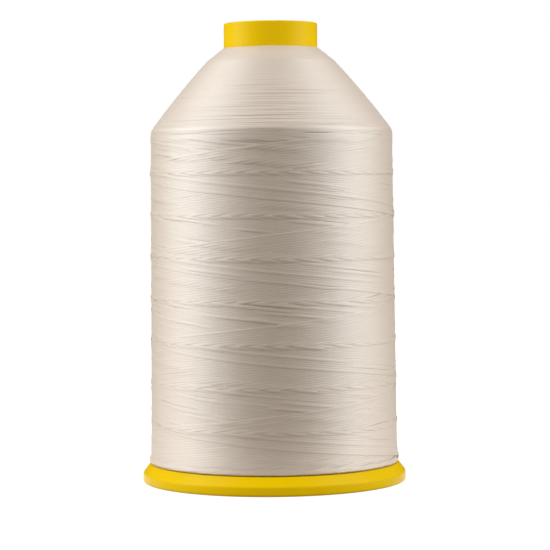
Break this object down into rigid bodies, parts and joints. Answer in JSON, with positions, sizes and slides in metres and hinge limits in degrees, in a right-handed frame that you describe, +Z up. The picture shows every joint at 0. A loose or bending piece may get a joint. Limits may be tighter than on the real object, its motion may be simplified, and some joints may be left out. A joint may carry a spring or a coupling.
{
  "type": "waxed thread spool",
  "caption": "Tall spool of off-white waxed thread cross-wound on a yellow plastic tube, with a bare collar at the top and a chamfered clip-on base.",
  "frame": {"origin": "centre of the ring that the base stands on, on the spool's axis", "axes": "+Z up along the spool's axis; the spool is round, so +X and +Y are free"},
  "size_m": [0.096, 0.096, 0.1666],
  "materials": {
    "yellow_plastic": "opaque yellow injection-moulded polypropylene, smooth with a soft gloss",
    "waxed_thread": "undyed off-white waxed continuous-filament thread with a satin sheen"
  },
  "bodies": {
    "base": {"snap_base": "yellow_plastic"},
    "wound_tube": {"spool_tube": "yellow_plastic", "thread_package": "waxed_thread", "outer_strand": "waxed_thread"}
  },
  "joints": [
    {"name": "base_snap", "type": "slide", "parent": "base", "child": "wound_tube", "axis": [0, 0, 1], "range_m": [0, 0.0025]}
  ]
}
